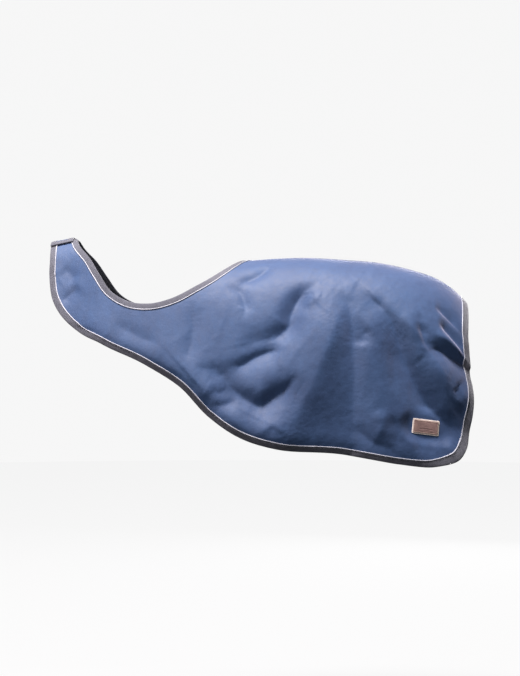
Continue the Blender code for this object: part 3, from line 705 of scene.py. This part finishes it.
def make_flap():
    rings = [flap_line(d) for d in (0, 0.006, 0.012, TAPE_WIDTH)]
    root = rings[0][0, 1]
    hinge_x = np.linspace(rings[-1][-1, 0], rings[-1][0, 0], 16)[1:-1]
    loop = np.concatenate([rings[-1], np.stack([hinge_x, np.full_like(hinge_x, root)], 1)])
    strips = [between(a, b) for a, b in zip(rings[:-1], rings[1:])]
    places, triangles = joined([*strips, filled(loop, 0.003)])
    lining = slab("flap_lining_cloth", places, triangles, 0, LINING_THICK, lift=flap_lift)
    shell = slab("flap_outer_cloth", places, triangles, LINING_THICK + GAP, STACK, lift=flap_lift)
    lines = []
    for distance, height in BINDING_PROFILE:
        line = flap_line(distance)
        lines.append(cloth(line[:, 0], line[:, 1], height + flap_lift(line[:, 1])))
    run = run_along(flap_line(0))
    binding = swept("flap_edge_binding", np.stack(lines, axis=1), run, run_along(BINDING_PROFILE))
    finish_piece(lining, "lining_cloth", "flap_lining", body=None)
    finish_piece(shell, "outer_cloth", "flap_shell", body=None)
    finish_piece(binding, "binding_webbing", "flap_binding", body=None)
    stitched = flap_line(TAPE_WIDTH - SEAM_INSET)
    rows = [(stitched, OUT + 0.0001, 1, flap_lift), (stitched, UNDER - 0.0001, -1, flap_lift)]
    stitching = stitch_rows("flap_edge_stitching", rows, "binding_webbing", body=None)
    for piece in (lining, shell, binding, stitching):
        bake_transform(piece)
    return lining, shell, binding, stitching


# ---- flat pieces sewn on: badge and fastener strips ----
def round_corners(u, v, half_u, half_v, radius):
    qu, qv = np.maximum(np.abs(u) - (half_u - radius), 0), np.maximum(np.abs(v) - (half_v - radius), 0)
    norm = np.maximum(np.hypot(qu, qv), 1e-9)
    scale = np.where((qu > 0) & (qv > 0), np.maximum(qu, qv) / norm, 1)
    return np.sign(u) * (np.abs(u) - qu + qu * scale), np.sign(v) * (np.abs(v) - qv + qv * scale)


def pad(name, place, width, height, base, thick, relief, step=0.0008, radius=0.004, out=1, lift=None, soften=0.0011):
    """A flat rounded rectangle with relief on its outer face.  place turns (u, v) into (x, signed t)."""

    def spaced(half):
        near = half - np.array([0, 0.0002, 0.0005, 0.0009])
        inner = np.linspace(-half + 0.0015, half - 0.0015, round(2 * half / step))
        return np.unique(np.concatenate([-near, near, inner]))

    us, vs = spaced(width / 2), spaced(height / 2)
    u, v = np.meshgrid(us, vs, indexing="ij")
    edge = np.minimum(width / 2 - np.abs(u), height / 2 - np.abs(v))
    ru, rv = round_corners(u, v, width / 2, height / 2, radius)
    x, t = place(ru, rv)
    middle, normal = cloth_frame(x, t)
    lifted = 0 if lift is None else lift(t)
    top = thick * (0.45 + 0.55 * np.sqrt(np.clip(edge / soften, 0, 1))) + relief(u, v, edge)
    layers = [middle + normal * (base + out * h + lifted)[..., None] for h in (top, 0 * top)]
    nu, nv = u.shape
    index = np.arange(nu * nv).reshape(nu, nv)
    a, b, c, d = index[:-1, :-1], index[1:, :-1], index[1:, 1:], index[:-1, 1:]
    quads = np.stack([a, b, c, d], -1).reshape(-1, 4)
    rim = np.concatenate([index[:, 0], index[-1, 1:], index[-2::-1, -1], index[0, -2:0:-1]])
    walls = np.stack([np.roll(rim, -1), rim, rim + nu * nv, np.roll(rim, -1) + nu * nv], -1)
    faces = np.concatenate([quads, quads[:, ::-1] + nu * nv, walls])
    uv = np.stack([u, v], -1).reshape(-1, 2)
    points = np.concatenate([p.reshape(-1, 3) for p in layers])
    p0, p1, p2, _ = points[quads[len(quads) // 2]]
    facing = np.dot(np.cross(p1 - p0, p2 - p0), (layers[0] - layers[1]).reshape(-1, 3)[quads[len(quads) // 2][0]])
    if facing < 0:
        faces = faces[:, ::-1]
    return new_object(name, points, faces, np.concatenate([uv, uv]), sharp=60)


def badge_place(u, v):
    along, down = (math.cos(BADGE_TILT), -math.sin(BADGE_TILT)), (-math.sin(BADGE_TILT), -math.cos(BADGE_TILT))
    x = BADGE_X + along[0] * u + down[0] * v
    z = BADGE_Z + along[1] * u + down[1] * v
    return x, distance_down(x.ravel(), z.ravel()).reshape(x.shape)


def line_groove(d, width, depth):
    return -depth * np.exp(-((d / width) ** 2))


def patch_relief(u, v, edge):
    """Generic embossing: a frame line, a plain ring with a bar across it, and two plain bars."""
    pillow = 0.00035 * smooth_step(edge, 0.0, 0.009)
    frame_line = line_groove(edge - 0.0046, 0.0007, 0.00035)
    ring = np.hypot(u / 0.0060, (v + 0.0050) / 0.0048) - 1
    emblem = line_groove(ring * 0.0054, 0.0008, 0.0004)
    inside_bar = (np.abs(u) < 0.0033) * line_groove(v + 0.0050, 0.0008, 0.0004)
    long_bar = 1 - smooth_step(np.maximum(np.abs(u) - 0.0200, 10 * (np.abs(v - 0.0062) - 0.0013)), 0, 0.0015)
    short_bar = 1 - smooth_step(np.maximum(np.abs(u) - 0.0090, 10 * (np.abs(v - 0.0112) - 0.0006)), 0, 0.0015)
    return pillow + frame_line + emblem + inside_bar - 0.00038 * long_bar - 0.0003 * short_bar


def make_badge():
    top = ON_SHELL + BADGE_THICK
    backing = pad(
        "badge_backing_leather", badge_place, BADGE_WIDTH, BADGE_HEIGHT, ON_SHELL, BADGE_THICK, lambda u, v, e: 0 * u,
        step=0.0016, radius=0.0035,
    )
    width, height = BADGE_WIDTH - 2 * BADGE_RIM, BADGE_HEIGHT - 2 * BADGE_RIM
    patch = pad(
        "badge_patch_leather", badge_place, width, height, top + GAP, BADGE_THICK, patch_relief,
        step=0.0007, radius=0.0025,
    )
    finish_piece(backing, "badge_backing", "badge_backing")
    finish_piece(patch, "badge_leather", "badge_patch")
    rows = []
    for inset_by, level in ((0.0021, top + GAP + BADGE_THICK), (-0.0018, top)):
        hu, hv = width / 2 - inset_by, height / 2 - inset_by
        corners = np.array([(-hu, -hv), (hu, -hv), (hu, hv), (-hu, hv), (-hu, -hv)])
        u, v = paced_line(corners, 0.001).T
        x, t = badge_place(u, v)
        rows.append((np.stack([x, t], 1), level + 0.0001, 1, None))
    stitch_rows(
        "badge_stitching", rows, "badge_backing", length=0.0024, pitch=0.0036, radius=0.00030,
        material="beige thread",
    )


def strip_place_of(u, v):
    middle = -FRONT_REACH + (CLOSURE_WIDTH - FLAP_TAPER) / 2
    return middle + u, (STRIP_NEAR + STRIP_FAR) / 2 + v


def make_strips():
    width, height = CLOSURE_WIDTH - FLAP_TAPER - 2 * (TAPE_WIDTH + 0.005), STRIP_FAR - STRIP_NEAR

    def pile(u, v, edge):
        return -0.0003 + 0.00028 * soft_noise(u * 900, v * 900, 71) * smooth_step(edge, 0.001, 0.0025)

    def hooks(u, v, edge):
        bumps = np.maximum(0, np.sin(u * 2 * math.pi / 0.0022)) * np.maximum(0, np.sin(v * 2 * math.pi / 0.0022))
        return -0.0010 + 0.0009 * bumps * smooth_step(edge, 0.0012, 0.0022)

    loops = pad(
        "loop_fastener", strip_place_of, width, height, ON_SHELL, STRIP_THICK, pile, step=0.0005, radius=0.002,
    )
    hook = pad(
        "hook_fastener", strip_place_of, width, height, -GAP, STRIP_THICK, hooks, step=0.00045, radius=0.002, out=-1,
        lift=flap_lift,
    )
    finish_piece(loops, "fastener", "loop_strip")
    finish_piece(hook, "fastener", "hook_strip", body="closing_flap")


def make_tail_loops():
    """A webbing loop for the tail cord inside each rear edge, sewn down at both ends."""
    shares = np.linspace(0, 1, 41)
    x = LOOP_FAR - LOOP_LENGTH + shares * LOOP_LENGTH
    span = np.clip((x - x[0] - LOOP_TAB) / (LOOP_LENGTH - 2 * LOOP_TAB), 0, 1)
    rise = LOOP_RISE * np.sin(span * math.pi) ** 0.7
    across = np.array([-1, -0.94, -0.6, 0, 0.6, 0.94, 1]) * LOOP_WIDTH / 2
    thick = np.array([0.35, 0.9, 1, 1, 1, 0.9, 0.35]) * LOOP_THICK / 2
    ring = [(w, -th) for w, th in zip(across, thick)] + [(w, th) for w, th in zip(across[::-1], thick[::-1])]
    near, far, half = 0.0016, 0.0084, 0.0078  # the sewn box and the stroke across it
    corners = np.array([(near, -half), (far, -half), (far, half), (near, half), (near, -half), (far, half)])
    for side, sign in (("left", 1), ("right", -1)):
        lines = []
        for w, th in ring:
            t = distance_down(x, LOOP_Z - w + 0 * x)
            lines.append(cloth(x, sign * t, -GAP - LOOP_THICK / 2 - rise - th))
        loop = swept("tail_cord_loop_" + side, np.stack(lines, axis=1), x, run_along(ring))
        finish_piece(loop, "loop_webbing", "tail_loop_" + side)
        rows = []
        for start in (x[0], x[-1] - LOOP_TAB):
            path = paced_line(corners, 0.0008)
            px = start + path[:, 0]
            line = np.stack([px, sign * distance_down(px, LOOP_Z - path[:, 1])], 1)
            rows.append((line, -GAP - LOOP_THICK, -1, None))
        stitch_rows("tail_loop_stitching_" + side, rows, "loop_webbing", length=0.0022, pitch=0.0031, radius=0.00035)


# ---- materials ----
def linear(r, g, b):
    """A display colour from 0 to 255 as linear light."""
    return tuple(c / 12.92 if c <= 0.04045 else ((c + 0.055) / 1.055) ** 2.4 for c in (r / 255, g / 255, b / 255))


class Nodes:
    """A material being made, with short calls for its nodes."""

    def __init__(self, name):
        self.material = bpy.data.materials.new(name)
        self.material.use_nodes = True
        self.tree = self.material.node_tree
        self.shader = self.tree.nodes["Principled BSDF"]
        self.uv = self.add("ShaderNodeUVMap", uv_map="cloth").outputs["UV"]
        self.at = self.add("ShaderNodeTexCoord").outputs["Object"]

    def add(self, kind, inputs=None, **settings):
        node = self.tree.nodes.new(kind)
        for key, value in settings.items():
            setattr(node, key, value)
        for key, value in (inputs or {}).items():
            if isinstance(value, bpy.types.NodeSocket):
                self.tree.links.new(value, node.inputs[key])
            else:
                node.inputs[key].default_value = value
        return node

    def maths(self, operation, a, b=0.0, c=0.0):
        return self.add("ShaderNodeMath", {0: a, 1: b, 2: c}, operation=operation).outputs[0]

    def noise(self, scale, detail=3.0, rough=0.55, stretch=None):
        where = self.at
        if stretch:
            where = self.add("ShaderNodeMapping", {"Vector": where, "Scale": stretch}).outputs[0]
        inputs = {"Vector": where, "Scale": scale, "Detail": detail, "Roughness": rough}
        return self.add("ShaderNodeTexNoise", inputs).outputs["Fac"]

    def cells(self, scale, where, wanted="F1", **inputs):
        """Distance in a pattern of cells: to each cell's middle, or to its edge."""
        inputs = {"Vector": where, "Scale": scale, **inputs}
        return self.add("ShaderNodeTexVoronoi", inputs, feature=wanted).outputs["Distance"]

    def threads(self, pitch, direction, where=None):
        """Rounded threads: 1 at the middle of each and 0 between them."""
        node = self.add("ShaderNodeSeparateXYZ", {0: where or self.uv})
        wave = self.maths("SINE", self.maths("MULTIPLY", node.outputs[direction], 2 * math.pi / pitch))
        return self.maths("MULTIPLY_ADD", wave, 0.5, 0.5)

    def weave(self, pitch):
        """A plain weave: warp over weft in every other crossing."""
        warp, weft = self.threads(pitch, 0), self.threads(pitch, 1)
        slow = self.maths("MULTIPLY", self.threads(2 * pitch, 0), self.threads(2 * pitch, 1))
        over = self.maths("GREATER_THAN", slow, 0.25)
        return self.mix(over, self.maths("POWER", warp, 0.6), self.maths("POWER", weft, 0.6))

    def mix(self, share, a, b):
        return self.add("ShaderNodeMix", {0: share, 2: a, 3: b}).outputs[0]

    def colours(self, share, *stops):
        node = self.add("ShaderNodeValToRGB", {0: share})
        ramp = node.color_ramp
        while len(ramp.elements) < len(stops):
            ramp.elements.new(0.5)
        for element, (place, colour) in zip(ramp.elements, stops):
            element.position = place
            element.color = (*linear(*colour), 1)
        return node.outputs[0]

    def shade(self, share, a, b):
        """Colour a, multiplied by colour b to the share given."""
        node = self.add("ShaderNodeMix", {0: share, 6: a, 7: b}, data_type="RGBA", blend_type="MULTIPLY")
        return node.outputs[2]

    def bumps(self, *layers):
        """Bump layers as (height socket, strength, distance in metres), one over the other."""
        normal = None
        for height, strength, distance in layers:
            inputs = {"Height": height, "Strength": strength, "Distance": distance}
            if normal is not None:
                inputs["Normal"] = normal
            normal = self.add("ShaderNodeBump", inputs).outputs[0]
        self.tree.links.new(normal, self.shader.inputs["Normal"])

    def darken(self, share, base, by, place, colour, clear):
        """The base colour times a tone that goes from colour at place to white at clear."""
        return self.shade(share, base, self.colours(by, (place, colour), (clear, (255, 255, 255))))

    def close(self, colour, varied_by, spread, rough, **constants):
        """Roughness is rough plus spread times varied_by."""
        self.tree.links.new(colour, self.shader.inputs["Base Color"])
        self.tree.links.new(self.maths("MULTIPLY_ADD", varied_by, spread, rough), self.shader.inputs["Roughness"])
        for key, value in constants.items():
            self.shader.inputs[key.replace("_", " ")].default_value = value
        return self.material


CLOTH_DARK, CLOTH_LIGHT = (31, 60, 98), (42, 73, 112)
CLOTH_ROUGH, CLOTH_SHEEN = 0.54, 0.45


def cloth_material():
    """Coated navy polyester: a close weave, a soft satin sheen, and faint crush marks."""
    n = Nodes("navy coated polyester")
    weave = n.weave(0.0011)
    patches = n.noise(5.0, 4.0, 0.6)
    marks = n.noise(60.0, 5.0, 0.65, stretch=(1.0, 1.0, 0.5))
    base = n.colours(patches, (0.30, CLOTH_DARK), (0.70, CLOTH_LIGHT))
    base = n.darken(0.30, base, marks, 0.30, (150, 156, 172), 0.72)
    base = n.darken(0.35, base, weave, 0.0, (150, 155, 168), 0.9)
    crinkle = n.noise(120.0, 4.0, 0.6)
    soft = n.noise(34.0, 3.0, 0.5)
    n.bumps((soft, 0.30, 0.004), (crinkle, 0.25, 0.0012), (weave, 0.30, 0.00018))
    return n.close(
        base, marks, 0.16, CLOTH_ROUGH, Specular_IOR_Level=0.42, Sheen_Weight=CLOTH_SHEEN, Sheen_Roughness=0.45,
        Sheen_Tint=(0.90, 0.84, 1.0, 1),
    )


def lining_material():
    """Dark knitted mesh lining."""
    n = Nodes("dark mesh lining")
    cells = n.cells(420.0, n.uv, Randomness=0.15)
    patches = n.noise(8.0)
    base = n.colours(patches, (0.3, (26, 34, 58)), (0.7, (36, 46, 74)))
    base = n.shade(0.6, base, n.colours(cells, (0.1, (255, 255, 255)), (0.6, (110, 112, 120))))
    n.bumps((n.noise(90.0), 0.25, 0.001), (cells, 0.6, 0.0004))
    return n.close(base, patches, 0.1, 0.70, Sheen_Weight=0.25, Sheen_Roughness=0.5, Specular_IOR_Level=0.3)


def webbing_material(name, dark, light, pitch=0.0014, ribs=0):
    """Ribbed woven tape.  Its ribs cross it, and a fine warp runs along it."""
    n = Nodes(name)
    rib, warp = n.threads(pitch, ribs), n.threads(0.0008, 1 - ribs)
    worn = n.noise(14.0, 5.0, 0.6)
    base = n.colours(worn, (0.32, dark), (0.68, light))
    base = n.darken(0.45, base, rib, 0.0, (120, 120, 124), 0.7)
    base = n.darken(0.25, base, warp, 0.0, (150, 150, 152), 0.8)
    n.bumps((n.noise(150.0), 0.2, 0.0008), (rib, 0.7, 0.0004), (warp, 0.35, 0.0002))
    return n.close(base, worn, 0.15, 0.62, Sheen_Weight=0.3, Sheen_Roughness=0.5, Specular_IOR_Level=0.35)


def piping_material():
    """Pale reflective cord: tiny glass beads over a twisted yarn."""
    n = Nodes("pale reflective piping")
    twist = n.threads(0.0022, 0, n.add("ShaderNodeMapping", {"Vector": n.uv, "Rotation": (0, 0, 0.9)}).outputs[0])
    beads = n.cells(2600.0, n.at)
    soil = n.noise(25.0, 4.0)
    base = n.colours(soil, (0.3, (138, 141, 150)), (0.65, (170, 173, 181)))
    base = n.darken(0.35, base, twist, 0.0, (150, 152, 160), 0.6)
    n.bumps((twist, 0.5, 0.0004), (beads, 0.4, 0.0001))
    return n.close(base, soil, 0.15, 0.36, Specular_IOR_Level=0.7, Sheen_Weight=0.15)


def leather_material(name, dark, light, deep, rough=0.46):
    """Leather: pores, fine wrinkles, and a darker tone where it is pressed in."""
    n = Nodes(name)
    grain = n.cells(950.0, n.at, "DISTANCE_TO_EDGE")
    wrinkle = n.noise(260.0, 6.0, 0.6)
    patches = n.noise(45.0, 5.0, 0.6)
    base = n.colours(patches, (0.30, dark), (0.70, light))
    base = n.darken(0.40, base, grain, 0.0, deep, 0.25)
    base = n.darken(0.30, base, wrinkle, 0.35, (165, 160, 158), 0.6)
    n.bumps((wrinkle, 0.35, 0.0005), (grain, 0.5, 0.0003))
    return n.close(base, patches, 0.2, rough - 0.1, Specular_IOR_Level=0.5)


def fastener_material():
    n = Nodes("black hook and loop")
    fuzz = n.noise(1500.0, 3.0, 0.7)
    base = n.colours(fuzz, (0.35, (16, 18, 26)), (0.65, (44, 47, 58)))
    n.bumps((fuzz, 0.8, 0.0004))
    return n.close(base, fuzz, 0.1, 0.8, Sheen_Weight=0.5, Sheen_Roughness=0.6, Specular_IOR_Level=0.2)


def thread_material(name, dark, light):
    n = Nodes(name)
    strands = n.noise(1800.0, 2.0, 0.6, stretch=(1.0, 1.0, 2.5))
    base = n.colours(strands, (0.3, dark), (0.7, light))
    n.bumps((strands, 0.6, 0.0002))
    return n.close(base, strands, 0.15, 0.45, Sheen_Weight=0.2, Specular_IOR_Level=0.4)


MATERIALS = {
    "outer_cloth": cloth_material(),
    "lining_cloth": lining_material(),
    "binding_webbing": webbing_material("grey edge webbing", (68, 70, 80), (92, 94, 104)),
    "reflective_piping": piping_material(),
    "badge_leather": leather_material("embossed brown leather", (130, 106, 102), (160, 132, 126), (120, 105, 100)),
    "badge_backing": leather_material("beige leather", (228, 216, 206), (246, 238, 230), (190, 180, 170), 0.55),
    "fastener": fastener_material(),
    "loop_webbing": webbing_material("navy loop webbing", (40, 48, 72), (58, 68, 98), 0.0012),
    "spine webbing": webbing_material("navy spine webbing", (46, 62, 108), (58, 78, 126), 0.0012),
    "seam webbing": webbing_material("dark seam webbing", (26, 32, 52), (38, 46, 70), 0.0012),
    "thread": thread_material("grey thread", (84, 86, 96), (116, 118, 128)),
    "navy thread": thread_material("navy thread", (46, 60, 98), (70, 88, 130)),
    "beige thread": thread_material("beige thread", (180, 160, 138), (214, 198, 176)),
}


def finish_piece(obj, slot_name, *nodes, material=None, body="rug"):
    """Gives a piece its material, picked by its slot name unless a material is named, hides the CAD parts that it
    stands for, and attaches it to its body.
    """
    obj.data.materials.append(MATERIALS[material or slot_name])
    if nodes:
        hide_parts(*nodes)
    if body:
        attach(obj, body)
    return obj


# ---- stage, light and camera ----
FLOOR_Z, FLOOR_LEVEL, BACKDROP_LEVEL, WORLD_LEVEL = -1.50, 0.893, 0.914, 0.095
FLOOR_RADIUS, DOME_RADIUS, STAGE_SIDES, DOME_RINGS = 11, 12, 96, 18
LIGHT_TARGET = (0.05, 0.0, -0.3)
CAMERA_PLACE = (0.0465, -5.30, -0.253)


def emission(name, level):
    material = bpy.data.materials.new(name)
    material.use_nodes = True
    tree = material.node_tree
    shader = tree.nodes["Principled BSDF"]
    shader.inputs["Base Color"].default_value = (0.03, 0.03, 0.03, 1)
    shader.inputs["Roughness"].default_value = 1.0
    shader.inputs["Specular IOR Level"].default_value = 0.0
    shader.inputs["Emission Color"].default_value = (1, 1, 1, 1)
    shader.inputs["Emission Strength"].default_value = level
    return material


def make_stage():
    """A pale floor at the height of the ground under a horse, and a pale dome round it all."""
    floor_mesh, dome_mesh = bpy.data.meshes.new("floor"), bpy.data.meshes.new("dome")
    n, turns = STAGE_SIDES, np.arange(STAGE_SIDES) * 2 * math.pi / STAGE_SIDES
    rim = [(FLOOR_RADIUS * math.cos(a), FLOOR_RADIUS * math.sin(a), FLOOR_Z) for a in turns]
    floor_mesh.from_pydata(rim, [], [tuple(range(n))])
    points = []
    for rise in np.radians(np.linspace(-12, 90, DOME_RINGS)):
        out, up = DOME_RADIUS * math.cos(rise), FLOOR_Z + DOME_RADIUS * math.sin(rise)
        points += [(out * math.cos(a), out * math.sin(a), up) for a in turns]
    places = [(r * n + k, r * n + (k + 1) % n) for r in range(DOME_RINGS - 1) for k in range(n)]
    dome_mesh.from_pydata(points, [], [(a, b, b + n, a + n) for a, b in places])
    for mesh, level in ((floor_mesh, FLOOR_LEVEL), (dome_mesh, BACKDROP_LEVEL)):
        obj = bpy.data.objects.new("stage_" + mesh.name, mesh)
        bpy.context.scene.collection.objects.link(obj)
        mesh.materials.append(emission("pale " + mesh.name, level))
        obj.visible_diffuse = obj.visible_glossy = obj.visible_shadow = False


def area_light(name, place, target, size, power, colour=(1, 1, 1)):
    """A round light of a size in metres and a power in watts, turned to its target."""
    data = bpy.data.lights.new(name, "AREA")
    data.shape, data.size, data.energy, data.color = "DISK", size, power, colour
    obj = bpy.data.objects.new(name, data)
    obj.location = place
    obj.rotation_euler = (Vector(target) - Vector(place)).to_track_quat("-Z", "Y").to_euler()
    bpy.context.scene.collection.objects.link(obj)


def make_light():
    area_light("key", (-0.9, -1.55, 6.4), LIGHT_TARGET, 1.6, 1610, (1.0, 0.935, 0.955))
    area_light("top", (0.3, 0.3, 3.0), LIGHT_TARGET, 3.0, 0.1)
    area_light("back", (1.2, 4.3, 0.5), LIGHT_TARGET, 3.0, 170)
    area_light("fill", (-1.0, -1.75, 0.6), (-0.1, -0.3, -0.35), 1.0, 31, (1.0, 0.87, 0.88))
    world = bpy.context.scene.world or bpy.data.worlds.new("studio")
    bpy.context.scene.world = world
    world.use_nodes = True
    background = world.node_tree.nodes["Background"]
    background.inputs[0].default_value = (0.72, 0.94, 1.0, 1)
    background.inputs[1].default_value = WORLD_LEVEL
    bpy.context.scene.view_settings.view_transform = "Standard"


def make_camera():
    data = bpy.data.cameras.new("camera")
    data.lens, data.sensor_width = 85, 36
    data.clip_end = 60
    camera = bpy.data.objects.new("camera", data)
    camera.location = CAMERA_PLACE
    camera.rotation_euler = (math.radians(90), 0, 0)
    bpy.context.scene.collection.objects.link(camera)
    bpy.context.scene.camera = camera


def declare_sheets():
    """Looks up each layer of cloth by name and does nothing more with it."""
    get = bpy.data.objects.get
    for side in ("left", "right"):
        shell, below = get("rug_shell_" + side), ["rug_lining_" + side]
        get("rug_lining_" + side)
    get("flap_outer_cloth")
    get("flap_lining_cloth")


for make in (
    make_camera, make_stage, make_light, make_panels, make_trims, make_spine, make_badge, make_strips,
    make_tail_loops, make_flap, declare_sheets,
):
    make()
